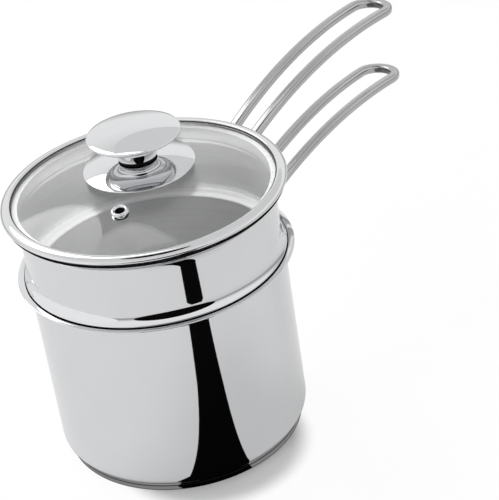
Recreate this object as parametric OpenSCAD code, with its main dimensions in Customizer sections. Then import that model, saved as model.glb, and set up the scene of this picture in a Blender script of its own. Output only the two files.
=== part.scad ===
// Double boiler: a lower pan for the water, an upper pan that hangs in it,
// and a domed glass lid with a steel rim and a mushroom knob.
// Z is up, the origin is the middle of the lower pan's underside,
// and both handles point along +X.

/* [Lower pan] */
// Outside radius of the lower pan's wall
lower_wall_r = 75.2; // [65:0.1:90]
// Height of the lower pan, from the table to the top of its lip
lower_pan_h = 118; // [100:0.5:150]
// How far the lower pan's pouring lip stands out from its wall
lower_lip_reach = 6; // [5:0.1:9]
// Outside radius of the bend below the lower lip
lower_lip_bend = 4; // [3:0.1:4.6]
// Outside radius of the lower pan's bottom corner
lower_corner_r = 8; // [6:0.5:14]
// Thickness of the steel sheet of both pans
sheet_t = 0.8; // [0.5:0.05:1]

/* [Capsule base] */
// Outside radius of the base cap
base_r = 71.7; // [60:0.1:78]
// Thickness of the aluminium core under the lower pan's floor
core_t = 3; // [2:0.1:6]
// Thickness of the steel cap pressed over the core
cap_t = 0.6; // [0.4:0.1:1]
// Height of the cap's side, from the table
cap_side_h = 5; // [4.6:0.1:8]

/* [Upper pan] */
// How much smaller the upper pan's wall is than the lower pan's, in radius
upper_wall_inset = 0.8; // [0:0.1:3]
// Height of the upper pan above its seat, to the top of its lip
upper_rise = 42.7; // [32:0.1:70]
// Depth of the upper pan's lower part, below its seat
upper_drop = 55; // [30:0.5:80]
// Space all round between the upper pan's lower part and the lower pan
steam_gap = 3.9; // [2:0.1:8]
// Outside radius of the upper pan's bottom corner
upper_corner_r = 12; // [6:0.5:20]
// How far the seat bead stands out past the lower pan's wall
bead_reach = 1.9; // [1:0.1:2.6]
// Outside radius of the seat bead
bead_r = 1; // [1:0.05:1.3]
// Angle of the wall's flare where it meets the seat bead
bead_flare = 35; // [25:1:50]
// Outside radius of the bend under the seat
step_bend = 1.6; // [1.1:0.1:2]
// How far the upper pan's lip stands out from its wall
upper_lip_reach = 6.9; // [5:0.1:9]
// Angle through which the upper lip is flared
upper_lip_flare = 76; // [60:1:85]

/* [Handles] */
// Length of a handle's arms, along their curve
arm_len = 156; // [110:1:200]
// Distance of each arm from the middle where it meets the pan
arm_root_half = 8; // [6.5:0.1:11]
// Radius of the loop at the end of the handle, to the middle of the rod
loop_r = 12.1; // [10:0.1:18]
// Width of the handle rod
rod_w = 6.4; // [5:0.1:9]
// Height of the handle rod
rod_h = 5.6; // [4:0.1:5.8]
// Corner radius of the rod
rod_corner = 2.2; // [1:0.1:2.4]
// Slope at which the arms leave the pan
root_slope = 26.4; // [10:0.1:30]
// Slope where the long bend of the arms ends
mid_slope = 6.5; // [-15:0.5:15]
// Slope at the tip of the loop
tip_slope = -6; // [-50:1:10]
// Length of the arms' long bend
long_bend = 103; // [60:1:160]
// Depth of the lower handle's root below the bend of the lower lip
lower_root_drop = 14; // [6:0.1:30]
// Depth of the upper handle's root below the flare of the upper lip
upper_root_drop = 4; // [3:0.1:10]
// Thickness of the plate that carries a handle
pad_t = 1.2; // [0.8:0.1:2.5]
// Height of the plate that carries a handle
pad_h = 10; // [8:0.5:11]
// Width of the plate beyond the arms, on each side
pad_margin = 3; // [1:0.5:8]
// How far the middle of the plate lies below the root of the arms
pad_offset = 1.4; // [1.3:0.1:3]

/* [Lid] */
// How far the lid's rim stands out past the upper pan's lip
lid_overhang = 1.2; // [0:0.1:3]
// Height of the open groove between the upper pan's lip and the band
rim_groove = 2.1; // [1.6:0.1:2.5]
// Depth of the rim's groove, in from the band's outer face
groove_depth = 3.4; // [2.6:0.1:3.8]
// Width of the rim's rounded crown, from its outer face to its top
crown_w = 4.9; // [4.2:0.1:5.2]
// Radius of the roll that turns the rim's inner edge down to the glass
rim_roll = 1; // [0.9:0.05:1.3]
// Space between the glass and the rim's inner edge
crest_gap = 0.1; // [0.05:0.05:0.4]
// Depth of the skirt that centres the lid in the upper pan
skirt_h = 6.3; // [2:0.1:7]
// Space between the skirt and the upper pan's wall
skirt_gap = 0.6; // [0.3:0.1:1.5]
// Thickness of the rim's steel strip
rim_t = 0.6; // [0.4:0.05:0.7]
// Thickness of the glass
glass_t = 3.2; // [2.5:0.1:3.6]
// Height of the glass dome, from its edge to its middle
glass_rise = 13; // [6:0.1:25]
// Thickness of the sealing strip between the rim and the glass
strip_t = 0.4; // [0.3:0.05:1]
// Width of the sealing strip
strip_w = 3; // [1.5:0.1:5]

/* [Vent] */
// Distance of the vent from the lid's middle
vent_place_r = 44.8; // [40:0.1:60]
// Direction of the vent, seen from above, counted from the handles
vent_turn = 207; // [0:1:359]
// Radius of the vent's clear hole
vent_hole_r = 2.7; // [1.5:0.1:3.5]
// Width of the vent's round collars
vent_collar_w = 1.9; // [1.7:0.1:3]
// Thickness of the vent's steel sleeve
sleeve_t = 0.5; // [0.3:0.05:0.7]
// Thickness of the vent's gasket
gasket_t = 0.6; // [0.4:0.1:1.5]

/* [Knob] */
// Radius of the knob's cap
knob_r = 27; // [24:0.5:35]
// Height of the cap's dome, from its edge to its middle
knob_dome = 2.8; // [1:0.1:6]
// Height from the knob's plate to the edge of the cap
knob_h = 15.7; // [13:0.1:25]
// Thickness of the cap's sheet
knob_sheet = 0.8; // [0.5:0.1:1]
// Radius of the knob's neck
neck_r = 11.5; // [9:0.1:14]
// Height of the neck's straight part and the shadow groove below it
neck_h = 5; // [3:0.1:7]
// Height of the shadow groove at the foot of the neck
foot_h = 1.2; // [0.5:0.1:2]
// Depth of the shadow groove
foot_inset = 0.9; // [0.4:0.1:2]
// Width of the hem folded under the cap's edge
hem_w = 4.2; // [2:0.1:6]
// Radius of the domed plate under the knob
plate_r = 32.2; // [27:0.1:38]
// Height of the plate's dome
plate_dome = 4.9; // [2:0.1:6]
// Thickness of the plate
plate_t = 0.8; // [0.5:0.1:1.2]
// Height of the bush between the plate and the glass
bush_h = 3.7; // [3:0.1:8]
// Radius of the bush
bush_r = 8; // [5.5:0.1:9]
// Thickness of the sealing washers above and below the glass
washer_t = 1; // [0.6:0.1:2]
// Radius of the washers below the glass
washer_r = 7.5; // [6:0.1:10]
// Radius of the knob's screw
screw_r = 2.5; // [2:0.1:3]
// Radius of the screw's head
head_r = 4.6; // [4:0.1:5.5]
// Height of the screw's head
head_h = 2.8; // [2:0.1:4]
// Length of the screw inside the neck
screw_grip = 8; // [5:0.5:11]

/* [Clearances] */
// Air left between pieces that rest on each other
seat_gap = 0.3; // [0.2:0.05:0.4]
// Thin joint left between pieces that are welded, bonded or pressed
bond_gap = 0.05; // [0.02:0.01:0.1]
// Room round the screw where it passes through other pieces
screw_room = 0.5; // [0.3:0.1:1]

/* [Hidden] */

// Smoothness of round pieces and of bends in a sheet
round_fn = 128;
bend_steps = 8;
dome_steps = 24;
// Overshoot that lets a cutter pass clean through what it cuts
cut_extra = 1;
// Points closer than this are one point, and turns smaller than this are straight
same_point = 0.001;
straight_turn = 0.01;

// Colours
polished = [0.80, 0.81, 0.83];
satin = [0.74, 0.75, 0.77];
aluminium = [0.70, 0.71, 0.72];
clear_glass = [0.80, 0.90, 0.90, 0.35];
silicone = [0.16, 0.16, 0.17];

// Lower pan and base
lower_floor_z = cap_t + core_t + 2 * bond_gap;
lower_inner_r = lower_wall_r - sheet_t;
lower_lip_x = lower_wall_r + lower_lip_bend;
lower_lip_z = lower_pan_h - sheet_t - lower_lip_bend;
lower_corner_x = lower_wall_r - lower_corner_r;
lower_corner_z = lower_floor_z + lower_corner_r;

// Upper pan: the seat bead rests in the bend of the lower lip
upper_wall_r = lower_wall_r - upper_wall_inset;
upper_inner_r = upper_wall_r - sheet_t;
insert_r = lower_inner_r - steam_gap;
bead_x = lower_wall_r + bead_reach - bead_r;
seat_reach = lower_lip_bend + sheet_t + bead_r + seat_gap;
bead_z = lower_lip_z + sqrt(pow(seat_reach, 2) - pow(lower_lip_x - bead_x, 2));
seat_z = bead_z - bead_r;
flare_r = (bead_x + bead_r * cos(bead_flare) - upper_wall_r) / (1 - cos(bead_flare));
flare_z = bead_z + (bead_r + flare_r) * sin(bead_flare);
upper_top_z = seat_z + upper_rise;
upper_floor_z = seat_z - upper_drop;
upper_lip_r = upper_wall_r + upper_lip_reach;
upper_bend = upper_lip_reach / (1 - cos(upper_lip_flare));
upper_bend_x = upper_wall_r + upper_bend;
upper_bend_z = upper_top_z - (upper_bend + sheet_t) * sin(upper_lip_flare);

// Handles
handle_total = arm_len + loop_r;
arm_angle = asin(loop_r / norm([arm_len, arm_root_half])) - atan2(arm_root_half, arm_len);
arm_steps = 18;
loop_steps = 16;
corner_steps = 3;
root_run = 6;
lower_root_z = lower_lip_z - lower_root_drop;
upper_root_z = upper_bend_z - upper_root_drop;

// Lid: the rim's flange rests on the upper pan's lip
lid_r = upper_lip_r + lid_overhang;
groove_r = lid_r - groove_depth;
flange_z = upper_bend_z + sqrt(pow(upper_bend + sheet_t, 2) - pow(upper_bend_x - groove_r, 2))
         + seat_gap;
band_z = flange_z + rim_groove;
rim_edge_r = 0.8;
crown_x = lid_r - crown_w;
crest_r = crown_x - rim_roll;
skirt_r = upper_inner_r - skirt_gap;
glass_gap = 0.2;
glass_r = groove_r - rim_t - glass_gap;
glass_edge_z = flange_z + rim_t + strip_t;
glass_ball = (pow(glass_r, 2) + pow(glass_rise, 2)) / (2 * glass_rise);
glass_top_z = glass_edge_z + glass_t + glass_rise;
glass_hole_r = screw_r + 2 * screw_room;
roll_z = glass_over(crest_r) + crest_gap;
crown_h = roll_z + rim_roll - band_z - rim_edge_r;

// Vent
vent_bore_r = vent_hole_r + sleeve_t + bond_gap;
vent_tilt = asin(vent_place_r / glass_ball);
vent_collar_r = vent_bore_r + vent_collar_w;
vent_roll = 0.7;
vent_sag = pow(vent_collar_r, 2) / (2 * glass_ball);

// Knob stack, from the glass up
top_washer_z = glass_top_z + bond_gap;
bush_z = top_washer_z + washer_t + bond_gap;
plate_z = bush_z + bush_h + bond_gap + plate_t;
plate_land = neck_r - foot_inset;
plate_drop = (pow(plate_r, 2) - pow(plate_land, 2) - pow(plate_dome, 2)) / (2 * plate_dome);
plate_ball = norm([plate_drop, plate_r]);
neck_z = plate_z + bond_gap;
knob_edge_z = plate_z + knob_h;
hem_r = knob_r - hem_w;
hem_room = 0.1;
hem_bend = knob_sheet + hem_room;
knob_ball = (pow(knob_r, 2) + pow(knob_dome, 2)) / (2 * knob_dome);
neck_top_z = knob_edge_z - bond_gap;
neck_lip = 0.6;
thread_r = screw_r + bond_gap;

// Knob stack, from the glass down
under_washer_z = glass_under(washer_r) - bond_gap - washer_t;
steel_washer_t = 1;
steel_washer_z = under_washer_z - bond_gap - steel_washer_t;
head_z = steel_washer_z - bond_gap - head_h;
slot_w = 1.2;
slot_depth = 1.1;

// Height of the glass's upper and lower faces at a distance from the middle
function glass_over(r) = glass_top_z - glass_ball + sqrt(pow(glass_ball, 2) - pow(r, 2));
function glass_under(r) = glass_over(r) - glass_t;

// Points along a circular arc
function arc(x, z, r, from, to, steps) = [
    for (i = [0 : steps]) let (a = from + (to - from) * i / steps) [x + r * cos(a), z + r * sin(a)]
];

// Unit vector square to the left of the way from p to q
function left_of(p, q) = let (d = (q - p) / norm(q - p)) [-d[1], d[0]];

// Points of a path moved to its left by t, with mitred corners
function moved_left(path, t) = [
    for (i = [0 : len(path) - 1])
        let (before = left_of(path[max(i - 1, 0)], path[max(i, 1)]))
        let (after = left_of(path[min(i, len(path) - 2)], path[min(i + 1, len(path) - 1)]))
        let (both = before + after)
        path[i] + both * 2 * t / (both * both)
];

// A list in the other order
function reversed(list) = [for (i = [len(list) - 1 : -1 : 0]) list[i]];

// A path without points that fall on the one before them
function distinct(path) = [
    for (i = [0 : len(path) - 1]) if (i == 0 || norm(path[i] - path[max(i - 1, 0)]) > same_point) path[i]
];

// Round sheet-metal piece: a path turned about Z, with its thickness on the left
module spun_sheet(path, t) {
    outer = distinct(path);
    inner = [for (p = moved_left(outer, t)) [max(p[0], 0), p[1]]];
    rotate_extrude($fn = round_fn)
        polygon(concat(outer, reversed(inner)));
}

// Ring with flat faces
module ring(outer_r, inner_r, h) {
    difference() {
        cylinder(r = outer_r, h = h, $fn = round_fn);
        translate([0, 0, -cut_extra])
            cylinder(r = inner_r, h = h + 2 * cut_extra, $fn = round_fn);
    }
}

// Drawn steel pan with a flared pouring lip
module lower_pan() {
    color(polished)
        spun_sheet(concat(
            [[0, lower_floor_z]],
            arc(lower_corner_x, lower_corner_z, lower_corner_r, -90, 0, bend_steps),
            arc(lower_lip_x, lower_lip_z, lower_lip_bend, 180, 90, bend_steps),
            [[lower_wall_r + lower_lip_reach, lower_lip_z + lower_lip_bend]]
        ), sheet_t);
}

// Height of the lower pan's underside at a distance from the middle
function pan_under(r) = r < lower_corner_x ? lower_floor_z
    : lower_corner_z - sqrt(pow(lower_corner_r, 2) - pow(min(r, lower_wall_r) - lower_corner_x, 2));

// Distance from the middle at which the lower pan's underside is at a height
function pan_reach(z) = lower_corner_x + sqrt(pow(lower_corner_r, 2) - pow(lower_corner_z - z, 2));

// Points just below the lower pan, from one distance from the middle in to another
function under_pan(from, to) = let (bend = max(to, min(from, lower_corner_x)))
    concat(
        [for (i = [0 : bend_steps])
            let (r = from + (bend - from) * i / bend_steps)
            [r, pan_under(r) - bond_gap]],
        [[to, pan_under(to) - bond_gap]]
    );

// Rounded lower edge of the cap
cap_edge_r = 1;

// Heat-spreading disc that fills the capsule up to the pan, or up to the cap's folded edge
module base_core() {
    core_r = base_r - cap_t - bond_gap;
    fold_z = cap_side_h - cap_t - bond_gap;
    color(aluminium)
        rotate_extrude($fn = round_fn)
            polygon(distinct(concat(
                [[0, cap_t + bond_gap], [core_r - cap_edge_r, cap_t + bond_gap]],
                [[core_r, min(fold_z, pan_under(core_r)) - bond_gap]],
                under_pan(min(core_r, pan_reach(fold_z)), 0)
            )));
}

// Steel cap pressed up over the core, with its edge folded in against the pan's corner
module base_cap() {
    seat_r = min(base_r, pan_reach(cap_side_h));
    inner_r = base_r - cap_t;
    fold_z = min(cap_side_h - cap_t, pan_under(seat_r - cap_t)) - bond_gap;
    color(satin)
        rotate_extrude($fn = round_fn)
            polygon(distinct(concat(
                [[0, 0]],
                arc(base_r - cap_edge_r, cap_edge_r, cap_edge_r, -90, 0, bend_steps),
                [[base_r, min(cap_side_h, pan_under(base_r)) - bond_gap]],
                under_pan(seat_r, seat_r - cap_t),
                [[seat_r - cap_t, fold_z], [inner_r, fold_z]],
                [[inner_r, 2 * cap_t], [inner_r - cap_edge_r, cap_t], [0, cap_t]]
            )));
}

// Drawn steel pan that hangs on its seat bead, with a narrower lower part
module upper_pan() {
    color(polished)
        spun_sheet(concat(
            [[0, upper_floor_z]],
            arc(insert_r - upper_corner_r, upper_floor_z + upper_corner_r, upper_corner_r, -90, 0, bend_steps),
            arc(insert_r + step_bend, seat_z - step_bend, step_bend, 180, 90, bend_steps),
            arc(bead_x, bead_z, bead_r, -90, bead_flare, bend_steps),
            arc(upper_wall_r + flare_r, flare_z, flare_r, 180 + bead_flare, 180, bend_steps),
            arc(upper_bend_x, upper_bend_z, upper_bend, 180, 180 - upper_lip_flare, bend_steps)
        ), sheet_t);
}

// Slope, reach and height of the handle's centre line at a length from its root
function bend_reach(from, to, run) =
    abs(to - from) < straight_turn ? run * cos(from) : run * (sin(to) - sin(from)) * 180 / PI / (to - from);
function bend_height(from, to, run) =
    abs(to - from) < straight_turn ? run * sin(from) : run * (cos(from) - cos(to)) * 180 / PI / (to - from);
function slope_at(s) = s < 0 ? root_slope
    : s < long_bend ? root_slope + (mid_slope - root_slope) * s / long_bend
    : mid_slope + (tip_slope - mid_slope) * (s - long_bend) / (handle_total - long_bend);
function reach_at(s) = s < 0 ? s * cos(root_slope)
    : s < long_bend ? bend_reach(root_slope, slope_at(s), s)
    : bend_reach(root_slope, mid_slope, long_bend) + bend_reach(mid_slope, slope_at(s), s - long_bend);
function height_at(s) = s < 0 ? s * sin(root_slope)
    : s < long_bend ? bend_height(root_slope, slope_at(s), s)
    : bend_height(root_slope, mid_slope, long_bend) + bend_height(mid_slope, slope_at(s), s - long_bend);

// Stations along the hairpin laid flat: length from the root, distance from the middle, heading
function arm_station(s, side) = let (heading = side > 0 ? arm_angle : -180 - arm_angle)
    [s, side * (arm_root_half + s * tan(arm_angle)), heading];
function loop_station(heading) =
    [arm_len - loop_r * sin(heading), loop_r * cos(heading), heading];
arm_end = arm_len - loop_r * sin(arm_angle);
hairpin = concat(
    [for (i = [0 : arm_steps - 1]) arm_station(-root_run + (arm_end + root_run) * i / arm_steps, 1)],
    [for (i = [0 : loop_steps]) loop_station(arm_angle - (180 + 2 * arm_angle) * i / loop_steps)],
    [for (i = [arm_steps - 1 : -1 : 0]) arm_station(-root_run + (arm_end + root_run) * i / arm_steps, -1)]
);

// Outline of the rod: sideways, then up
rod_outline = [
    for (quarter = [0 : 3])
        let (sx = quarter == 0 || quarter == 3 ? 1 : -1)
        let (sz = quarter < 2 ? 1 : -1)
        each arc(sx * (rod_w / 2 - rod_corner), sz * (rod_h / 2 - rod_corner), rod_corner,
                 90 * quarter, 90 * quarter + 90, corner_steps)
];

// One ring of points: the rod's outline set square to the hairpin at a station
function rod_ring(station) =
    let (slope = slope_at(station[0]))
    let (heading = station[2])
    let (middle = [reach_at(station[0]), station[1], height_at(station[0])])
    let (forward = [cos(slope), 0, sin(slope)])
    let (up = [-sin(slope), 0, cos(slope)])
    let (side = [0, cos(heading), 0] - forward * sin(heading))
    [for (p = rod_outline) middle + side * p[0] + up * p[1]];

// Forged hairpin, with its arms cut to the curve of the plate that carries them
module hairpin_handle(wall_r, root_z) {
    sides = len(rod_outline);
    rings = len(hairpin);
    difference() {
        translate([wall_r, 0, root_z])
            polyhedron(
                points = [for (station = hairpin) each rod_ring(station)],
                faces = concat(
                    [[for (i = [0 : sides - 1]) i]],
                    [for (k = [0 : rings - 2]) for (i = [0 : sides - 1])
                        let (a = k * sides + i)
                        let (b = k * sides + (i + 1) % sides)
                        each [[a, a + sides, b], [b, a + sides, b + sides]]],
                    [[for (i = [sides - 1 : -1 : 0]) (rings - 1) * sides + i]]
                )
            );
        translate([0, 0, root_z - wall_r])
            cylinder(r = wall_r + pad_t + 2 * bond_gap, h = 2 * wall_r, $fn = round_fn);
    }
}

// Curved plate with round ends, spot-welded to a pan to carry a handle's two arms
module handle_plate(wall_r, root_z) {
    half_w = arm_root_half + rod_w / 2 + pad_margin - pad_h / 2;
    intersection() {
        translate([0, 0, root_z - pad_offset - pad_h])
            ring(wall_r + bond_gap + pad_t, wall_r + bond_gap, 2 * pad_h);
        translate([0, 0, root_z - pad_offset])
            rotate([90, 0, 90])
                linear_extrude(wall_r + pad_h)
                    union() {
                        square([2 * half_w, pad_h], center = true);
                        translate([half_w, 0])
                            circle(d = pad_h, $fn = round_fn);
                        translate([-half_w, 0])
                            circle(d = pad_h, $fn = round_fn);
                    }
    }
}

module lower_handle() {
    color(satin)
        hairpin_handle(lower_wall_r, lower_root_z);
}

module upper_handle() {
    color(satin)
        hairpin_handle(upper_wall_r, upper_root_z);
}

module lower_handle_plate() {
    color(satin)
        handle_plate(lower_wall_r, lower_root_z);
}

module upper_handle_plate() {
    color(satin)
        handle_plate(upper_wall_r, upper_root_z);
}

// Toughened glass dome, bored for the knob's screw and for the vent
module lid_glass() {
    color(clear_glass)
        difference() {
            rotate_extrude($fn = round_fn)
                polygon(concat(
                    [for (i = [0 : dome_steps]) let (r = glass_r * i / dome_steps) [r, glass_under(r)]],
                    [for (i = [dome_steps : -1 : 0]) let (r = glass_r * i / dome_steps) [r, glass_over(r)]]
                ));
            translate([0, 0, glass_edge_z])
                cylinder(r = glass_hole_r, h = 2 * (glass_rise + glass_t), $fn = round_fn);
            at_vent()
                translate([0, 0, -2 * glass_t])
                    cylinder(r = vent_bore_r + bond_gap, h = 4 * glass_t, $fn = round_fn);
        }
}

// Steel strip rolled round the glass, with a crown, a groove, a flange and a centring skirt
module lid_rim() {
    color(polished)
        spun_sheet(concat(
            [[skirt_r, flange_z - skirt_h], [skirt_r, flange_z], [groove_r, flange_z], [groove_r, band_z]],
            arc(lid_r - rim_edge_r, band_z + rim_edge_r, rim_edge_r, -90, 0, bend_steps),
            [for (i = [1 : bend_steps])
                let (a = 90 * i / bend_steps)
                [crown_x + crown_w * cos(a), band_z + rim_edge_r + crown_h * sin(a)]],
            arc(crown_x, roll_z, rim_roll, 90, 180, bend_steps)
        ), rim_t);
}

// Silicone strip that beds the glass on the rim's flange
module lid_rim_seal() {
    outer = groove_r - rim_t - bond_gap;
    color(silicone)
        rotate_extrude($fn = round_fn)
            polygon([
                [outer - strip_w, flange_z + rim_t + bond_gap],
                [outer, flange_z + rim_t + bond_gap],
                [outer, glass_under(outer) - bond_gap],
                [outer - strip_w, glass_under(outer - strip_w) - bond_gap]
            ]);
}

// Places its children on the glass at the vent, square to the glass
module at_vent() {
    rotate([0, 0, vent_turn])
        translate([vent_place_r, 0, glass_over(vent_place_r)])
            rotate([0, vent_tilt, 0])
                children();
}

// Steel sleeve of the steam vent, rolled over above and below the glass
module vent_sleeve() {
    top = gasket_t + 2 * bond_gap + sleeve_t;
    bottom = -glass_t - vent_sag - bond_gap - sleeve_t;
    color(polished)
        at_vent()
            rotate_extrude($fn = round_fn)
                polygon([
                    [vent_hole_r, bottom],
                    [vent_collar_r, bottom],
                    [vent_collar_r, bottom + sleeve_t],
                    [vent_hole_r + sleeve_t, bottom + sleeve_t],
                    [vent_hole_r + sleeve_t, top - sleeve_t],
                    [vent_collar_r, top - sleeve_t],
                    [vent_collar_r - vent_roll / 2, top],
                    [vent_hole_r + vent_roll, top + vent_roll],
                    [vent_hole_r, top]
                ]);
}

// Ring that seals the vent's sleeve on the glass
module vent_gasket() {
    color(silicone)
        at_vent()
            translate([0, 0, bond_gap])
                ring(vent_collar_r - vent_roll, vent_hole_r + sleeve_t + bond_gap, gasket_t);
}

// Domed cap of the knob, with its edge hemmed under
module knob_cap() {
    dome_angle = asin(knob_r / knob_ball);
    color(polished)
        spun_sheet(concat(
            [[hem_r, knob_edge_z - 2 * hem_bend]],
            arc(knob_r - hem_bend, knob_edge_z - hem_bend, hem_bend, -90, 90 - dome_angle, bend_steps),
            [for (i = [dome_steps - 2 : -1 : 0])
                let (r = knob_r * i / dome_steps)
                [r, knob_edge_z + knob_dome - knob_ball + sqrt(pow(knob_ball, 2) - pow(r, 2))]]
        ), knob_sheet);
}

// Turned neck that flares out under the cap, with a blind hole for the screw
module knob_neck() {
    flare_h = neck_top_z - 2 * hem_bend - neck_lip - neck_z - neck_h;
    color(polished)
        difference() {
            rotate_extrude($fn = round_fn)
                polygon(concat(
                    [[0, neck_z], [neck_r - foot_inset, neck_z], [neck_r - foot_inset, neck_z + foot_h]],
                    [[neck_r, neck_z + foot_h]],
                    [for (i = [0 : bend_steps])
                        let (a = 90 * i / bend_steps)
                        [neck_r + (hem_r - neck_r - bond_gap) * (1 - cos(a)),
                         neck_z + neck_h + flare_h * sin(a)]],
                    [[hem_r - bond_gap, neck_top_z - 2 * hem_bend + knob_sheet], [0, neck_top_z - neck_lip]]
                ));
            translate([0, 0, neck_z - cut_extra])
                cylinder(r = thread_r, h = screw_grip + 2 * cut_extra, $fn = round_fn);
        }
}

// Domed plate that stands clear of the glass under the knob
module knob_plate() {
    color(polished)
        spun_sheet(concat(
            [for (i = [dome_steps : -1 : 0])
                let (r = plate_land + (plate_r - plate_land) * i / dome_steps)
                [r, plate_z - sqrt(pow(plate_ball, 2) - pow(plate_land, 2))
                    + sqrt(pow(plate_ball, 2) - pow(r, 2))]],
            [[screw_r + screw_room, plate_z]]
        ), plate_t);
}

// Bush that carries the plate above the glass
module knob_bush() {
    color(aluminium)
        translate([0, 0, bush_z])
            ring(bush_r, screw_r + screw_room, bush_h);
}

// Silicone washer between the bush and the glass
module knob_top_washer() {
    color(silicone)
        translate([0, 0, top_washer_z])
            ring(bush_r, screw_r + screw_room, washer_t);
}

// Silicone washer below the glass
module knob_under_washer() {
    color(silicone)
        translate([0, 0, under_washer_z])
            ring(washer_r, screw_r + screw_room, washer_t);
}

// Steel washer under the screw's head
module knob_steel_washer() {
    color(satin)
        translate([0, 0, steel_washer_z])
            ring(washer_r, screw_r + screw_room, steel_washer_t);
}

// Slotted screw that draws the knob down on the glass from below
module knob_screw() {
    color(satin)
        difference() {
            union() {
                translate([0, 0, head_z])
                    cylinder(r = head_r, h = head_h, $fn = round_fn);
                translate([0, 0, head_z])
                    cylinder(r = screw_r, h = neck_z + screw_grip - head_z, $fn = round_fn);
            }
            translate([-head_r - cut_extra, -slot_w / 2, head_z - cut_extra])
                cube([2 * (head_r + cut_extra), slot_w, slot_depth + cut_extra]);
        }
}

lower_pan();
base_core();
base_cap();
lower_handle_plate();
lower_handle();
upper_pan();
upper_handle_plate();
upper_handle();
lid_glass();
lid_rim();
lid_rim_seal();
vent_sleeve();
vent_gasket();
knob_cap();
knob_neck();
knob_plate();
knob_bush();
knob_top_washer();
knob_under_washer();
knob_steel_washer();
knob_screw();
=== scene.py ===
from math import asin, atan2, cos, hypot, pi, radians, sin, sqrt, tan

import bmesh
import bpy
from mathutils import Matrix, Quaternion, Vector


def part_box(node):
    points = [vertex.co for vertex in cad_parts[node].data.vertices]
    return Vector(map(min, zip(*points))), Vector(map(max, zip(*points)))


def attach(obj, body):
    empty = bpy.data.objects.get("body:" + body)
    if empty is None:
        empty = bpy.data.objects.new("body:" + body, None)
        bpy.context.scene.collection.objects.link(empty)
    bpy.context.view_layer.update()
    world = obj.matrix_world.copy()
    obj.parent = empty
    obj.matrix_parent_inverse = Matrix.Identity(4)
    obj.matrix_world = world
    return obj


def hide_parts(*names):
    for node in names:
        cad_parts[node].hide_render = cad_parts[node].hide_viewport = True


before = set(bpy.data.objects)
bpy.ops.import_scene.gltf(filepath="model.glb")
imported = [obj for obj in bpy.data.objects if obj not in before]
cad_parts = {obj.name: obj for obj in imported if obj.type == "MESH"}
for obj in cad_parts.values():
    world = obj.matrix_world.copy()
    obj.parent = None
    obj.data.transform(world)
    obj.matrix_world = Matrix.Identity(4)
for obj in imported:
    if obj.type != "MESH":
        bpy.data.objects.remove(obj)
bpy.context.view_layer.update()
scene = bpy.context.scene

# Camera. It looks down on the pans from the side away from the handles, with a long lens,
# and is rolled a little, so that the whole pan leans to the left in the picture.
camera_place = Vector((-0.6130, -0.6459, 0.6403))
camera_aim = Vector((0.0152, -0.0599, 0.1284))
camera_roll = radians(-8.9)
camera = bpy.data.objects.new("camera", bpy.data.cameras.new("camera"))
camera.data.sensor_fit = "HORIZONTAL"
camera.data.sensor_width = 36
camera.data.lens = 127.8
camera.data.clip_start = 0.05
camera.data.clip_end = 30
camera.location = camera_place
camera.rotation_mode = "QUATERNION"
camera.rotation_quaternion = (
    (camera_aim - camera_place).to_track_quat("-Z", "Y") @ Quaternion((0, 0, 1), camera_roll)
)
scene.collection.objects.link(camera)
scene.camera = camera


# Lower pan. A deep pan for the water, drawn from one sheet of stainless steel and polished to a
# mirror outside. Its wall turns out into a flat pouring lip with a rounded edge.
def arc(r, z, bend, start, end, steps=14):
    """Points of a round stretch of an outline, as (distance from the axis, height)."""
    angles = [radians(start + (end - start) * i / steps) for i in range(steps + 1)]
    return [Vector((r + bend * cos(a), z + bend * sin(a))) for a in angles]


def corners(*points):
    """Corners of an outline, each given as (distance from the axis, height)."""
    return [Vector(p) for p in points]


def quarter(steps):
    """Angles of a quarter turn, in even steps."""
    return [radians(90 * i / steps) for i in range(steps + 1)]


def distinct(path):
    """The path without points that fall on the one before them."""
    return [p for i, p in enumerate(path) if i == 0 or (p - path[i - 1]).length > 1e-5]


def beside(path, distance):
    """The path moved to its left, with mitred corners."""
    last = len(path) - 1
    moved = []
    for i, point in enumerate(path):
        before = (path[max(i, 1)] - path[max(i, 1) - 1]).normalized()
        after = (path[min(i, last - 1) + 1] - path[min(i, last - 1)]).normalized()
        both = Vector((-before.y - after.y, before.x + after.x))
        moved.append(point + both * 2 * distance / both.length_squared)
    return moved


def round_edge(near, far, outwards, steps=6):
    """Half circle from one face of a sheet to the other, round its cut edge."""
    middle = (near + far) / 2
    arm = near - middle
    turn = [pi * i / steps for i in range(1, steps)]
    return [middle + arm * cos(a) + outwards * arm.length * sin(a) for a in turn]


def sheet_outline(path, thickness):
    """Outline of a sheet that lies on the left of a path, with rounded cut edges."""
    path = distinct(path)
    first = (path[0] - path[1]).normalized()
    last = (path[-1] - path[-2]).normalized()
    if path[0].x > 0:
        path[0] = path[0] - first * thickness / 2
    if path[-1].x > 0:
        path[-1] = path[-1] - last * thickness / 2
    inner = [Vector((max(p.x, 0), p.y)) for p in beside(path, thickness)]
    end = round_edge(path[-1], inner[-1], last) if path[-1].x > 0 else []
    start = round_edge(inner[0], path[0], first) if path[0].x > 0 else []
    if path[-1].x > 0:
        return path + end + inner[::-1] + start
    return inner[::-1] + start + path


def add_node(tree, kind, settings=(), **inputs):
    """A new node with its settings made and its inputs linked or filled in, by their names."""
    node = tree.nodes.new(kind)
    for name, value in dict(settings).items():
        setattr(node, name, value)
    for name, value in inputs.items():
        socket = node.inputs[int(name[1:]) if name[1:].isdigit() else name.replace("_", " ")]
        if isinstance(value, bpy.types.NodeSocket):
            tree.links.new(value, socket)
        else:
            socket.default_value = value
    return node


weld = 1e-6
crease = radians(28)


def maths(tree, operation, *values):
    """The result of a maths node on numbers or on the results of other nodes."""
    inputs = {f"_{i}": value for i, value in enumerate(values)}
    return add_node(tree, "ShaderNodeMath", {"operation": operation}, **inputs).outputs[0]


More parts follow.
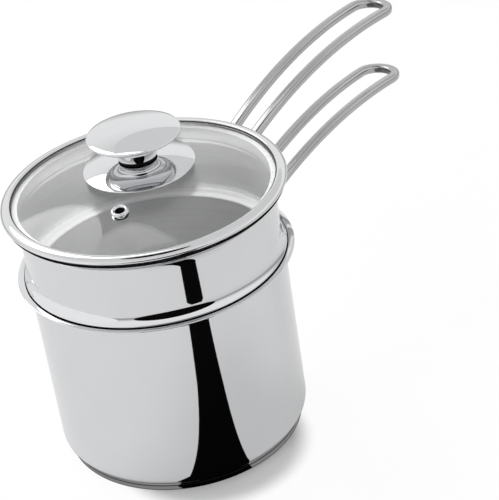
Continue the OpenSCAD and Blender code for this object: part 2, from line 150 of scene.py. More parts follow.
def new_tree(name, **sockets):
    """A new geometry tree with the inputs given and one output, and what its input node gives."""
    tree = bpy.data.node_groups.new(name, "GeometryNodeTree")
    for socket, kind in sockets.items():
        tree.interface.new_socket(socket, in_out="INPUT", socket_type="NodeSocket" + kind)
    tree.interface.new_socket("Geometry", in_out="OUTPUT", socket_type="NodeSocketGeometry")
    return tree, tree.nodes.new("NodeGroupInput").outputs


def finish_tree(tree, shell, finish):
    """Ends a geometry tree: the shape's seam is welded and its material given."""
    closed = add_node(tree, "GeometryNodeMergeByDistance", Geometry=shell, Distance=weld)
    real = add_node(tree, "GeometryNodeRealizeInstances", Geometry=closed.outputs[0])
    finished = add_node(tree, "GeometryNodeSetMaterial", Geometry=real.outputs[0], Material=finish)
    tree.links.new(finished.outputs[0], tree.nodes.new("NodeGroupOutput").inputs[0])


def turning_tree():
    """Node tree that turns an outline, given as a chain of points, about the Z axis."""
    tree, given = new_tree("turned outline", Outline="Geometry", Segments="Int", Finish="Material")
    points = add_node(tree, "GeometryNodeAttributeDomainSize", Geometry=given["Outline"]).outputs[0]
    grid = add_node(tree, "GeometryNodeMeshGrid", Size_X=1.0, Size_Y=1.0,
                    Vertices_X=maths(tree, "ADD", given["Segments"], 1.0), Vertices_Y=points)
    position = tree.nodes.new("GeometryNodeInputPosition").outputs[0]
    place = add_node(tree, "ShaderNodeSeparateXYZ", Vector=position).outputs
    last = maths(tree, "SUBTRACT", points, 1.0)
    step = maths(tree, "MULTIPLY", maths(tree, "ADD", place["Y"], 0.5), last)
    point = add_node(tree, "GeometryNodeSampleIndex", {"data_type": "FLOAT_VECTOR"},
                     Geometry=given["Outline"], Value=position, Index=maths(tree, "ROUND", step))
    angle = maths(tree, "MULTIPLY", maths(tree, "ADD", place["X"], 0.5), 2 * pi)
    turned_point = add_node(tree, "ShaderNodeVectorRotate", {"rotation_type": "Z_AXIS"},
                            Vector=point.outputs[0], Angle=angle)
    shell = add_node(tree, "GeometryNodeSetPosition", Geometry=grid.outputs["Mesh"],
                     Position=turned_point.outputs[0])
    finish_tree(tree, shell.outputs[0], given["Finish"])
    return tree


def made_plain(piece, tree, values):
    """Runs a node tree on a piece and leaves its result as a plain smooth mesh, faces outwards."""
    modifier = piece.modifiers.new("shape", "NODES")
    modifier.node_group = tree
    names = {s.name: s.identifier for s in tree.interface.items_tree if s.in_out == "INPUT"}
    for name, value in values.items():
        modifier[names[name]] = value
    bpy.context.view_layer.update()
    shaped = piece.evaluated_get(bpy.context.evaluated_depsgraph_get())
    mesh = bpy.data.meshes.new_from_object(shaped)
    piece.modifiers.clear()
    piece.data = mesh
    made_smooth(piece)


def smoothed(piece):
    """Shades a piece smooth, but for its sharp edges."""
    piece.data.shade_smooth()
    piece.data.set_sharp_from_angle(angle=crease)


def made_smooth(piece):
    """Welds a piece, points its faces outwards and shades it smooth."""
    shape = bmesh.new()
    shape.from_mesh(piece.data)
    bmesh.ops.remove_doubles(shape, verts=shape.verts, dist=weld)
    bmesh.ops.dissolve_degenerate(shape, edges=shape.edges, dist=weld / 10)
    bmesh.ops.recalc_face_normals(shape, faces=shape.faces)
    shape.to_mesh(piece.data)
    shape.free()
    smoothed(piece)


def new_piece(name, points, edges=(), faces=()):
    """A new object with the mesh given, at the origin."""
    mesh = bpy.data.meshes.new(name)
    mesh.from_pydata([tuple(p) for p in points], edges, faces)
    piece = bpy.data.objects.new(name, mesh)
    scene.collection.objects.link(piece)
    return piece


turn_outline = turning_tree()


def turned(name, outline, finish, segments=256):
    """A round piece turned from an outline that starts and ends on the axis, or else is closed."""
    outline = distinct(outline)
    if outline[0].x > weld or outline[-1].x > weld:
        outline = outline + [outline[0]]
    points = [(p.x, 0, p.y) for p in outline]
    piece = new_piece(name, points, [(i, i + 1) for i in range(len(points) - 1)])
    made_plain(piece, turn_outline, {"Segments": segments, "Finish": finish})
    return piece


def placed(piece, body, nodes):
    """Joins a piece to its body, in the place of the plain solids that it stands for."""
    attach(piece, body)
    if nodes:
        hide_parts(*nodes)
    return piece


def new_material(name):
    """A new material, with its node tree and its main shader."""
    material = bpy.data.materials.new(name)
    material.use_nodes = True
    return material, material.node_tree, material.node_tree.nodes["Principled BSDF"]


def spread(tree, value, low, high, start=0.3, stop=0.7):
    """A number from low to high as another goes from start to stop, by default a noise's range."""
    return add_node(tree, "ShaderNodeMapRange",
                    _0=value, _1=start, _2=stop, _3=low, _4=high).outputs[0]


def noise_between(tree, place, scale, low, high):
    """A number that wanders between two values over the surface."""
    cloud = add_node(tree, "ShaderNodeTexNoise", Vector=place, Scale=scale, Detail=3.0)
    return spread(tree, cloud.outputs[0], low, high)


def painted(tree, shader, share, colour, depth):
    """Gives a shader a colour, darkened to the depth given where the share falls to 0."""
    mix = add_node(tree, "ShaderNodeMix", {"data_type": "RGBA"},
                   _0=share, _6=(*[c * depth for c in colour], 1), _7=(*colour, 1))
    tree.links.new(mix.outputs[2], shader.inputs["Base Color"])


def bumped(tree, shader, height, strength, distance):
    """Gives a shader the fine relief of a height."""
    bump = add_node(tree, "ShaderNodeBump", Strength=strength, Distance=distance, Height=height)
    tree.links.new(bump.outputs[0], shader.inputs["Normal"])


def mottled(name, colour, depth, spots, low, high, haze_spots):
    """A material whose colour and roughness wander over the surface."""
    material, tree, shader = new_material(name)
    place = tree.nodes.new("ShaderNodeTexCoord").outputs["Object"]
    painted(tree, shader, noise_between(tree, place, spots, 0, 1), colour, depth)
    tree.links.new(noise_between(tree, place, haze_spots, low, high), shader.inputs["Roughness"])
    return material, tree, shader, place


def polished_steel(name, colour, haze):
    """Buffed stainless steel: a mirror with the faint haze and waves that buffing leaves."""
    material, tree, shader, place = mottled(
        name, colour, depth=0.97, spots=25, low=haze, high=haze + 0.02, haze_spots=60)
    shader.inputs["Metallic"].default_value = 1
    wave = add_node(tree, "ShaderNodeTexNoise", Vector=place, Scale=45.0, Detail=1.0)
    bumped(tree, shader, wave.outputs[0], strength=0.05, distance=0.0002)
    return material


def spun_steel(name, colour, low, high, ring_scale, metal=1.0, stretch=0.75):
    """Stainless steel brushed in fine rings about the axis, as the inside of a spun pan is."""
    material, tree, shader = new_material(name)
    shader.inputs["Metallic"].default_value = metal
    shader.inputs["Anisotropic"].default_value = stretch
    shader.inputs["Anisotropic Rotation"].default_value = 0.25
    place = tree.nodes.new("ShaderNodeTexCoord").outputs["Object"]
    parts = add_node(tree, "ShaderNodeSeparateXYZ", Vector=place).outputs
    flat = add_node(tree, "ShaderNodeCombineXYZ", X=parts[0], Y=parts[1]).outputs[0]
    reach = add_node(tree, "ShaderNodeVectorMath", {"operation": "LENGTH"}, _0=flat).outputs["Value"]
    rings = add_node(tree, "ShaderNodeCombineXYZ", X=reach, Y=parts[2]).outputs[0]
    line = add_node(tree, "ShaderNodeTexNoise", Vector=rings, Scale=ring_scale, Detail=4.0).outputs[0]
    painted(tree, shader, line, colour, depth=0.84)
    tree.links.new(spread(tree, line, low, high), shader.inputs["Roughness"])
    bumped(tree, shader, line, strength=0.12, distance=0.0001)
    way = add_node(tree, "ShaderNodeTangent", {"direction_type": "RADIAL", "axis": "Z"})
    tree.links.new(way.outputs[0], shader.inputs["Tangent"])
    return material


def painted_shade_steel(name, colour):
    """Steel painted nearly black, as painted shade deep in joints, grooves and bores."""
    material, _, shader, _ = mottled(
        name, colour, depth=0.6, spots=120, low=0.4, high=0.6, haze_spots=300)
    shader.inputs["Metallic"].default_value = 1
    return material


def off_axis(place):
    """Distance of a point from the axis."""
    return hypot(place.x, place.y)


def facing_axis(place, normal):
    """How far a face looks towards the axis, from -1 to 1."""
    return -(normal.x * place.x + normal.y * place.y) / max(off_axis(place), weld)


def second_finish(piece, material, chosen):
    """Gives the faces that are chosen, by their middle and their normal, another material."""
    piece.data.materials.append(material)
    for face in piece.data.polygons:
        if chosen(face.center, face.normal):
            face.material_index = len(piece.data.materials) - 1


wall_r = 0.0752
sheet_t = 0.0008
lower_corner = 0.008
lower_lip_bend = 0.004
lower_lip_reach = 0.006
bead_reach = 0.0019
joint_past = 0.0006
joint_w = 0.0013
joint_r = wall_r + bead_reach + joint_past
lower_floor_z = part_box("lower_pan")[0].z
lower_top_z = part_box("lower_pan")[1].z
lower_lip_z = lower_top_z - sheet_t - lower_lip_bend
mirror = polished_steel("mirror steel", (0.80, 0.805, 0.815), haze=0.02)
spun = spun_steel("spun steel", (0.98, 0.98, 0.985), low=0.38, high=0.52,
                  ring_scale=700.0, metal=0.8, stretch=0.6)
# Painted shade: near-black steel for faces deep in joints, grooves and bores.
painted_shade = painted_shade_steel("painted shade steel", (0.02, 0.02, 0.021))
lower_pan = turned("lower_pan_shell", sheet_outline(
    corners((0, lower_floor_z))
    + arc(wall_r - lower_corner, lower_floor_z + lower_corner, lower_corner, -90, 0)
    + arc(wall_r + lower_lip_bend, lower_lip_z, lower_lip_bend, 180, 90)
    + corners((wall_r + lower_lip_reach, lower_top_z - sheet_t)), sheet_t), mirror)
second_finish(lower_pan, spun, lambda c, n: off_axis(c) < wall_r - sheet_t / 2
              and c.z < lower_lip_z and (n.z > 0.2 or facing_axis(c, n) > 0))
# Painted shade: the ring of the lip under the upper pan's bead is painted near black.
second_finish(lower_pan, painted_shade, lambda c, n: c.z > lower_lip_z and n.z > 0.1
              and joint_r - joint_w < off_axis(c) < joint_r)
placed(lower_pan, "water_pan", ["lower_pan"])

# Base. An aluminium disc spreads the heat under the floor. A thin steel cap is pressed up over it,
# with its edge folded in against the pan's corner, and a fine seam is rolled round the cap's side.
base_r = 0.0717
cap_t = 0.0006
cap_side = 0.005
cap_edge = 0.001
core_gap = 0.00005
seam_z = 0.0036
seam_w = 0.0003
corner_x = wall_r - lower_corner
corner_z = lower_floor_z + lower_corner


def pan_under(r):
    """Height of the water pan's rounded corner at a distance from the axis."""
    return corner_z - sqrt(lower_corner ** 2 - (r - corner_x) ** 2)


cap_seat_r = min(base_r, corner_x + sqrt(lower_corner ** 2 - (corner_z - cap_side) ** 2))
cap_fold_z = min(cap_side - cap_t, pan_under(cap_seat_r - cap_t)) - core_gap
satin = spun_steel("satin steel", (0.60, 0.60, 0.61), low=0.16, high=0.26, ring_scale=1400.0)
# Painted shade: the cap's steel is a darker copy of the mirror steel, for the shade its side shows.
cap_steel_painted_shade = polished_steel("capsule steel with painted shade", (0.47, 0.47, 0.478), haze=0.08)
base_cap = turned("base_cap_shell", (
    corners((0, 0))
    + arc(base_r - cap_edge, cap_edge, cap_edge, -90, 0)
    + corners(
        (base_r, seam_z - seam_w), (base_r - seam_w, seam_z), (base_r, seam_z + seam_w),
        (base_r, cap_side - core_gap), (cap_seat_r, pan_under(cap_seat_r) - core_gap),
        (cap_seat_r - cap_t, pan_under(cap_seat_r - cap_t) - core_gap),
        (cap_seat_r - cap_t, cap_fold_z), (base_r - cap_t, cap_fold_z),
        (base_r - cap_t, 2 * cap_t), (base_r - cap_t - cap_edge, cap_t), (0, cap_t))
), cap_steel_painted_shade)
# Painted shade: the groove of the rolled seam is painted near black.
second_finish(base_cap, painted_shade, lambda c, n: abs(c.z - seam_z) < seam_w and facing_axis(c, n) < -0.5)
placed(base_cap, "water_pan", ["base_cap"])
cast = spun_steel("cast aluminium", (0.60, 0.61, 0.62), low=0.30, high=0.42, ring_scale=500.0)


def refinished(node, finish):
    """Gives a finish to a solid that keeps its own mesh."""
    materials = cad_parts[node].data.materials
    materials.clear()
    materials.append(finish)


refinished("base_core", cast)

# Handles. Each is one thick rod of steel bent into a hairpin, arched along its length and turned
# down at the loop. Its two arms end square on a small curved plate that is welded to the pan.
arm_len = 0.156
arm_root_half = 0.008
loop_r = 0.0121
rod_w = 0.0064
rod_h = 0.0056
rod_corner = 0.0022
corner_steps = 6
root_slope = 26.4
mid_slope = 6.5
tip_slope = -6
long_bend = 0.103
handle_total = arm_len + loop_r
arm_angle = asin(loop_r / hypot(arm_len, arm_root_half)) - atan2(arm_root_half, arm_len)
plate_t = 0.0012
plate_h = 0.010
plate_half = 0.0092
plate_below = 0.0014
welded_gap = 0.00005
grain_run = 0.00006
inside_bend_from = 0.14


def slope_at(s):
    """Slope of the handle's centre line, in degrees, at a length from its root."""
    if s < long_bend:
        return root_slope + (mid_slope - root_slope) * max(s, 0) / long_bend
    return mid_slope + (tip_slope - mid_slope) * (s - long_bend) / (handle_total - long_bend)


def stretch(start, end, run):
    """Reach and rise over a run on which the slope turns evenly from start to end."""
    a, b = radians(start), radians(end)
    if abs(b - a) < 1e-5:
        return Vector((run * cos(a), run * sin(a)))
    return Vector((run * (sin(b) - sin(a)) / (b - a), run * (cos(a) - cos(b)) / (b - a)))


def centre_at(s):
    """Reach and rise of the handle's centre line at a length from its root."""
    if s < 0:
        return stretch(root_slope, root_slope, s)
    if s < long_bend:
        return stretch(root_slope, slope_at(s), s)
    return stretch(root_slope, mid_slope, long_bend) + stretch(mid_slope, slope_at(s), s - long_bend)


def hairpin(start=-0.004, arm_steps=60, loop_steps=44):
    """Stations of the hairpin laid flat: length from the root, distance from the middle, heading."""
    end = arm_len - loop_r * sin(arm_angle)
    runs = [start + (end - start) * i / arm_steps for i in range(arm_steps)]
    arm = [(s, arm_root_half + s * tan(arm_angle)) for s in runs]
    turns = [arm_angle - (pi + 2 * arm_angle) * i / loop_steps for i in range(loop_steps + 1)]
    return ([(s, y, arm_angle) for s, y in arm]
            + [(arm_len - loop_r * sin(a), loop_r * cos(a), a) for a in turns]
            + [(s, -y, -pi - arm_angle) for s, y in arm[::-1]])


def rod_tree():
    """Node tree that sweeps a rod with rounded corners along a chain of stations."""
    tree, given = new_tree("rod along stations", Stations="Geometry", Width="Float",
                           Height="Float", Corner="Float", Finish="Material")
    square = add_node(tree, "GeometryNodeCurvePrimitiveQuadrilateral",
                      Width=given["Width"], Height=given["Height"])
    section = add_node(tree, "GeometryNodeFilletCurve", {"mode": "POLY"}, Curve=square.outputs[0],
                       Count=corner_steps, Radius=given["Corner"]).outputs[0]
    sides = add_node(tree, "GeometryNodeAttributeDomainSize", {"component": "CURVE"},
                     Geometry=section).outputs[0]
    rings = add_node(tree, "GeometryNodeAttributeDomainSize", Geometry=given["Stations"]).outputs[0]
    grid = add_node(tree, "GeometryNodeMeshGrid", Size_X=1.0, Size_Y=1.0,
                    Vertices_X=rings, Vertices_Y=maths(tree, "ADD", sides, 1.0))
    position = tree.nodes.new("GeometryNodeInputPosition").outputs[0]
    place = add_node(tree, "ShaderNodeSeparateXYZ", Vector=position).outputs

    def index(axis, count):
        step = maths(tree, "MULTIPLY", maths(tree, "ADD", place[axis], 0.5), count)
        return maths(tree, "ROUND", step)

    def sampled(shape, value, at):
        return add_node(tree, "GeometryNodeSampleIndex", {"data_type": "FLOAT_VECTOR"},
                        Geometry=shape, Value=value, Index=at).outputs[0]

    ring = index("X", maths(tree, "SUBTRACT", rings, 1.0))
    corner = maths(tree, "FLOORED_MODULO", index("Y", sides), sides)
    offset = add_node(tree, "ShaderNodeSeparateXYZ",
                      Vector=sampled(section, position, corner)).outputs
    total = sampled(given["Stations"], position, ring)
    for attribute, amount in (("side", offset[0]), ("up", offset[1])):
        named = add_node(tree, "GeometryNodeInputNamedAttribute", {"data_type": "FLOAT_VECTOR"},
                         Name=attribute)
        way = sampled(given["Stations"], named.outputs[0], ring)
        moved = add_node(tree, "ShaderNodeVectorMath", {"operation": "SCALE"}, _0=way, Scale=amount)
        total = add_node(tree, "ShaderNodeVectorMath", {"operation": "ADD"},
                         _0=total, _1=moved.outputs[0]).outputs[0]
    run = maths(tree, "MULTIPLY", ring, grain_run)
    grain = add_node(tree, "ShaderNodeCombineXYZ", X=offset[0], Y=offset[1], Z=run).outputs[0]
    kept = add_node(tree, "GeometryNodeStoreNamedAttribute",
                    {"data_type": "FLOAT_VECTOR", "domain": "POINT"},
                    Geometry=grid.outputs["Mesh"], Name="grain", Value=grain)
    shell = add_node(tree, "GeometryNodeSetPosition", Geometry=kept.outputs[0], Position=total)
    finish_tree(tree, shell.outputs[0], given["Finish"])
    return tree


def grained_steel(name, colour, low, high, grain_scale=900.0):
    """Satin steel with fine lines along the rod, which follow the grain that the sweep keeps."""
    material, tree, shader = new_material(name)
    shader.inputs["Metallic"].default_value = 1
    grain = add_node(tree, "ShaderNodeAttribute", {"attribute_name": "grain"}).outputs["Vector"]
    line = add_node(tree, "ShaderNodeTexNoise", Vector=grain, Scale=grain_scale, Detail=4.0).outputs[0]
    painted(tree, shader, spread(tree, line, 0, 1, start=0.35, stop=0.65), colour, depth=0.7)
    tree.links.new(spread(tree, line, low, high), shader.inputs["Roughness"])
    bumped(tree, shader, line, strength=0.15, distance=0.0001)
    return material


def handle(name, pan_r, root_z, finish):
    """The hairpin rod, with its ends cut to the curve of the plate."""
    stations = hairpin()
    points, sides, ups = [], [], []
    for s, y, heading in stations:
        reach, rise = centre_at(s)
        slope = radians(slope_at(s))
        forward = Vector((cos(slope), 0, sin(slope)))
        points.append(Vector((pan_r + reach, y, root_z + rise)))
        sides.append(Vector((0, cos(heading), 0)) - forward * sin(heading))
        ups.append(Vector((-sin(slope), 0, cos(slope))))
    piece = new_piece(name, points, [(i, i + 1) for i in range(len(points) - 1)])
    for attribute, vectors in (("side", sides), ("up", ups)):
        values = piece.data.attributes.new(attribute, "FLOAT_VECTOR", "POINT")
        values.data.foreach_set("vector", [c for v in vectors for c in v])
    made_plain(piece, rod_along,
               {"Width": rod_w, "Height": rod_h, "Corner": rod_corner, "Finish": finish})
    face_r = pan_r + plate_t + 2 * welded_gap
    for vertex in piece.data.vertices:
        place = vertex.co
        if off_axis(place) < face_r:
            side = 1 if place.y > 0 else -1
            way = Vector((cos(radians(root_slope)), side * tan(arm_angle), sin(radians(root_slope))))
            a = way.x ** 2 + way.y ** 2
            b = place.x * way.x + place.y * way.y
            c = place.x ** 2 + place.y ** 2 - face_r ** 2
            vertex.co = place + way * (-b + sqrt(b * b - a * c)) / a
    shape = bmesh.new()
    shape.from_mesh(piece.data)
    bmesh.ops.remove_doubles(shape, verts=shape.verts, dist=2 * weld)
    open_edges = [e for e in shape.edges if e.is_boundary]
    bmesh.ops.holes_fill(shape, edges=open_edges)
    shape.to_mesh(piece.data)
    shape.free()
    made_smooth(piece)
    return piece


def handle_plate(name, pan_r, root_z, finish, steps=24, rounding=0.0005):
    """The curved plate with round ends, its front edge rounded over."""
    def loop(inset, r):
        radius = plate_h / 2 - inset
        points = []
        for side, start in ((1, -90), (-1, 90)):
            for i in range(steps + 1):
                a = radians(start + 180 * i / steps)
                y = side * plate_half + radius * cos(a)
                z = root_z - plate_below + radius * sin(a)
                points.append(Vector((sqrt(r * r - y * y), y, z)))
        return points

    back_r = pan_r + welded_gap
    front_r = back_r + plate_t
    insets = [plate_h / 2 * (1 - i / 6) for i in range(6)]
    loops = ([loop(inset, front_r) for inset in insets if inset > rounding]
             + [loop(rounding * (1 - sin(a)), front_r - rounding * (1 - cos(a))) for a in quarter(6)]
             + [loop(0, back_r)]
             + [loop(plate_h / 2 * i / 3, back_r) for i in range(1, 4)])
    count = len(loops[0])
    points = [p for ring in loops for p in ring]
    faces = [(k + i, k + (i + 1) % count, k + count + (i + 1) % count, k + count + i)
             for k in range(0, count * (len(loops) - 1), count) for i in range(count)]
    piece = new_piece(name, points, (), faces)
    piece.data.materials.append(finish)
    made_smooth(piece)
    return piece


rod_along = rod_tree()
rod_steel = grained_steel("satin rod steel", (0.60, 0.60, 0.61), low=0.10, high=0.20)
# Painted dark reflection: a dark copy of the polished steel for the loop's inner bend.
painted_dark_reflection = polished_steel("steel with painted dark reflection", (0.16, 0.16, 0.165), haze=0.3)
upper_wall_r = 0.0744
for level, body, pan_r in (("lower", "water_pan", wall_r), ("upper", "hanging_pan", upper_wall_r)):
    plate_low, plate_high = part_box(level + "_handle_plate")
    root_z = (plate_low.z + plate_high.z) / 2 + plate_below
    rod = handle(level + "_handle_rod", pan_r, root_z, rod_steel)
    # Painted dark reflection on the inner faces of the loop's bend.
    second_finish(rod, painted_dark_reflection, lambda c, n: c.x > pan_r + inside_bend_from
                  and n.x < -0.75 and abs(n.z) < 0.5)
    placed(rod, body, [level + "_handle"])
    # The pads take the cap's darker steel, with its painted shade.
    plate = handle_plate(level + "_handle_pad", pan_r, root_z, cap_steel_painted_shade)
    placed(plate, body, [level + "_handle_plate"])

# Upper pan. It hangs in the water pan on a bead rolled where its wall narrows, and the lower
# part is brushed in rings inside. Above, its wall flares out into a pouring lip.
insert_gap = 0.0039
insert_r = wall_r - sheet_t - insert_gap
insert_corner = 0.012
step_bend = 0.0016
bead_r = 0.001
bead_x = wall_r + bead_reach - bead_r
bead_flare = 35
flare_cos, flare_sin = cos(radians(bead_flare)), sin(radians(bead_flare))
seat_gap = 0.0003
seat_reach = lower_lip_bend + sheet_t + bead_r + seat_gap
bead_z = lower_lip_z + sqrt(seat_reach ** 2 - (wall_r + lower_lip_bend - bead_x) ** 2)
seat_z = bead_z - bead_r
flare_r = (bead_x + bead_r * flare_cos - upper_wall_r) / (1 - flare_cos)
flare_z = bead_z + (bead_r + flare_r) * flare_sin
upper_lip_reach = 0.0069
upper_lip_flare = 76
upper_bend = upper_lip_reach / (1 - cos(radians(upper_lip_flare)))
upper_bend_x = upper_wall_r + upper_bend
upper_floor_z, upper_top_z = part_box("upper_pan")[0].z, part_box("upper_pan")[1].z
upper_bend_z = upper_top_z - (upper_bend + sheet_t) * sin(radians(upper_lip_flare))
painted_light_w = 0.004
lip_edge_r = upper_wall_r + upper_lip_reach - sheet_t / 2
# Painted light: a near-white, mostly non-metal copy of the steel for where the pan catches the light.
painted_light_steel = spun_steel("spun steel with painted light", (0.99, 0.99, 0.99), low=0.42, high=0.55,
                     ring_scale=400.0, metal=0.15, stretch=0.3)
# Painted shade: a darker copy of the spun steel for the deep part of the pan.
spun_painted_shade = spun_steel("spun steel with painted shade", (0.80, 0.80, 0.805), low=0.34, high=0.46,
                       ring_scale=500.0, metal=0.9, stretch=0.7)
upper_pan = turned("upper_pan_shell", sheet_outline(
    corners((0, upper_floor_z))
    + arc(insert_r - insert_corner, upper_floor_z + insert_corner, insert_corner, -90, 0)
    + arc(insert_r + step_bend, seat_z - step_bend, step_bend, 180, 90)
    + arc(bead_x, bead_z, bead_r, -90, bead_flare)
    + arc(upper_wall_r + flare_r, flare_z, flare_r, 180 + bead_flare, 180)
    + arc(upper_bend_x, upper_bend_z, upper_bend, 180, 180 - upper_lip_flare), sheet_t), mirror)
second_finish(upper_pan, spun, lambda c, n: c.z < upper_bend_z
              and (n.z > 0.95 or facing_axis(c, n) > 0.05))
# Painted shade: the deep part of the pan takes the darker spun steel.
second_finish(upper_pan, spun_painted_shade, lambda c, n: c.z < seat_z - 2 * step_bend
              and (n.z > 0.5 or facing_axis(c, n) > 0.05))
# Painted light: the step under the bead and the inside of the lip take the near-white steel.
second_finish(upper_pan, painted_light_steel, lambda c, n: abs(c.z - seat_z) < 3 * step_bend
              and off_axis(c) > insert_r - sheet_t and n.z > 0.25 and facing_axis(c, n) > -0.02)
second_finish(upper_pan, painted_light_steel, lambda c, n: c.z >= upper_bend_z
              and facing_axis(c, n) > 0.05 and off_axis(c) < upper_wall_r + painted_light_w)
# Painted shade: the lip's cut edge and the bead's underside are painted near black.
second_finish(upper_pan, painted_shade, lambda c, n: off_axis(c) > lip_edge_r
              or seat_z < c.z < bead_z and n.z < 0.05 and off_axis(c) > bead_x)
placed(upper_pan, "hanging_pan", ["upper_pan"])

# Lid glass. A shallow dome of toughened glass, ground round at its edge, with a hole in the
# middle for the knob's screw and a smaller one for the steam vent. It casts no shadow, so that
# the lamps light the pan under it.
rim_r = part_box("lid_rim")[1].x
rim_t = 0.0006
groove_depth = 0.0034
groove_r = rim_r - groove_depth
glass_t = 0.0032
glass_rise = 0.013
glass_gap = 0.0002
glass_r = groove_r - rim_t - glass_gap
glass_hole_r = 0.0035
glass_ball = (glass_r ** 2 + glass_rise ** 2) / (2 * glass_rise)
flange_z = upper_bend_z + sqrt((upper_bend + sheet_t) ** 2 - (upper_bend_x - groove_r) ** 2) + seat_gap
seal_t = 0.0004
glass_top_z = flange_z + rim_t + seal_t + glass_t + glass_rise
vent_place_r = 0.0448
vent_turn = radians(207)
vent_hole_r = 0.0027
sleeve_t = 0.0005
vent_bore_r = vent_hole_r + sleeve_t + welded_gap
vent_tilt = asin(vent_place_r / glass_ball)


def glass_over(r):
    """Height of the glass's upper face at a distance from the middle."""
    return glass_top_z - glass_ball + sqrt(glass_ball ** 2 - r * r)


def clear_glass(name, colour):
    """Toughened glass, faintly green, with a breath of haze."""
    material, _, shader, _ = mottled(
        name, colour, depth=0.985, spots=30, low=0.0, high=0.008, haze_spots=40)
    shader.inputs["Transmission Weight"].default_value = 1
    shader.inputs["IOR"].default_value = 1.5
    return material


glass = clear_glass("clear glass", (0.985, 0.99, 0.99))
edge_round = 0.0008
dome_steps = 48
dome_reach = glass_r - edge_round - glass_hole_r
radii = [glass_hole_r + dome_reach * i / dome_steps for i in range(dome_steps + 1)]
over = corners(*[(r, glass_over(r)) for r in radii])
under = corners(*[(r, glass_over(r) - glass_t) for r in radii])
rim_over, rim_under = over[-1], under[-1]
glass_edge = corners(*[
    (glass_r - edge_round * (1 - cos(a)), rim_under.y + edge_round * (1 + sin(a)))
    for a in [radians(15 * i) for i in range(-5, 1)]])
glass_edge += corners(*[
    (glass_r - edge_round * (1 - cos(a)), rim_over.y - edge_round * (1 - sin(a)))
    for a in [radians(15 * i) for i in range(6)]])
dome = turned("lid_glass_dome", under + glass_edge + over[::-1], glass)
at_vent = (Matrix.Rotation(vent_turn, 4, "Z")
           @ Matrix.Translation((vent_place_r, 0, glass_over(vent_place_r)))
           @ Matrix.Rotation(vent_tilt, 4, "Y"))
drill_r, drill_half = vent_bore_r + welded_gap, 0.01
drill = turned("vent_drill", corners((0, -drill_half), (drill_r, -drill_half),
                                     (drill_r, drill_half), (0, drill_half)), glass, 64)
drill.data.transform(at_vent)
bore = dome.modifiers.new("vent bore", "BOOLEAN")
bore.operation = "DIFFERENCE"
bore.solver = "EXACT"
bore.object = drill
bpy.context.view_layer.update()
bored = bpy.data.meshes.new_from_object(dome.evaluated_get(bpy.context.evaluated_depsgraph_get()))
dome.modifiers.clear()
dome.data = bored
bpy.data.objects.remove(drill)
smoothed(dome)
dome.visible_shadow = False
placed(dome, "lid", ["lid_glass"])

# Lid rim. A strip of polished steel rolled round the edge of the glass, with a rounded crown, a
# flange that rests on the pan's lip and a skirt. A dark silicone strip beds the glass on it.
groove_w = 0.0021
band_z = flange_z + groove_w
rim_edge = 0.0008
rim_roll = 0.001
crown_w = 0.0049
crown_x = rim_r - crown_w
crest_r = crown_x - rim_roll
crest_gap = 0.0001
roll_low = glass_over(crest_r) + crest_gap
crown_h = roll_low + rim_roll - band_z - rim_edge
skirt_h = 0.0063
skirt_gap = 0.0006
skirt_r = upper_wall_r - sheet_t - skirt_gap
rim_crown = corners(*[(crown_x + crown_w * cos(a), band_z + rim_edge + crown_h * sin(a))
                      for a in quarter(20)])
rim = turned("lid_rim_strip", sheet_outline(
    corners((skirt_r, flange_z - skirt_h), (skirt_r, flange_z), (groove_r, flange_z), (groove_r, band_z))
    + arc(rim_r - rim_edge, band_z + rim_edge, rim_edge, -90, 0, 8)
    + rim_crown + arc(crown_x, roll_low, rim_roll, 90, 180, 4), rim_t), mirror)
# Painted shade: the groove's wall and the band's underside are painted near black.
second_finish(rim, painted_shade, lambda c, n: flange_z < c.z < band_z and facing_axis(c, n) < -0.5
              or c.z < band_z + rim_edge and n.z < -0.4 and off_axis(c) > groove_r)
# Painted light: the flange's top and the skirt's inside take the near-white steel.
second_finish(rim, painted_light_steel, lambda c, n: c.z < band_z and (n.z > 0.5 or facing_axis(c, n) > 0.5))
placed(rim, "lid", ["lid_rim"])


def silicone_rubber(name, colour):
    """Dark food-grade silicone with a fine matt skin."""
    material, tree, shader, place = mottled(
        name, colour, depth=0.7, spots=400, low=0.4, high=0.6, haze_spots=300)
    grain = add_node(tree, "ShaderNodeTexNoise", Vector=place, Scale=1500.0)
    bumped(tree, shader, grain.outputs[0], strength=0.1, distance=0.0001)
    return material


silicone = silicone_rubber("dark silicone", (0.035, 0.035, 0.038))
seal_out = groove_r - rim_t - welded_gap
seal_w = 0.003
seal_in = seal_out - seal_w
seal_low = flange_z + rim_t + welded_gap
seal = turned("lid_seal_strip", corners(
    (seal_in, seal_low), (seal_out, seal_low),
    (seal_out, glass_over(seal_out) - glass_t - welded_gap),
    (seal_in, glass_over(seal_in) - glass_t - welded_gap)), silicone)
placed(seal, "lid", ["lid_rim_seal"])
# Painted shade: a thin dark silicone bead along the crest's inner edge stands in for the shade there.
bead_w, bead_h = 0.0005, 0.0004
bead_edge, bead_slope = 0.0001, 0.0003
bead_in, bead_out = crest_r - bead_w, crest_r - welded_gap
bead_top = roll_low + bead_h
bead = turned("lid_painted_shade_bead", corners(
    (bead_in, glass_over(bead_in) + welded_gap), (bead_out, glass_over(bead_out) + welded_gap),
    (bead_out, bead_top), (bead_out - bead_edge, bead_top), (bead_in, bead_top - bead_slope)),
    silicone)
placed(bead, "lid", [])

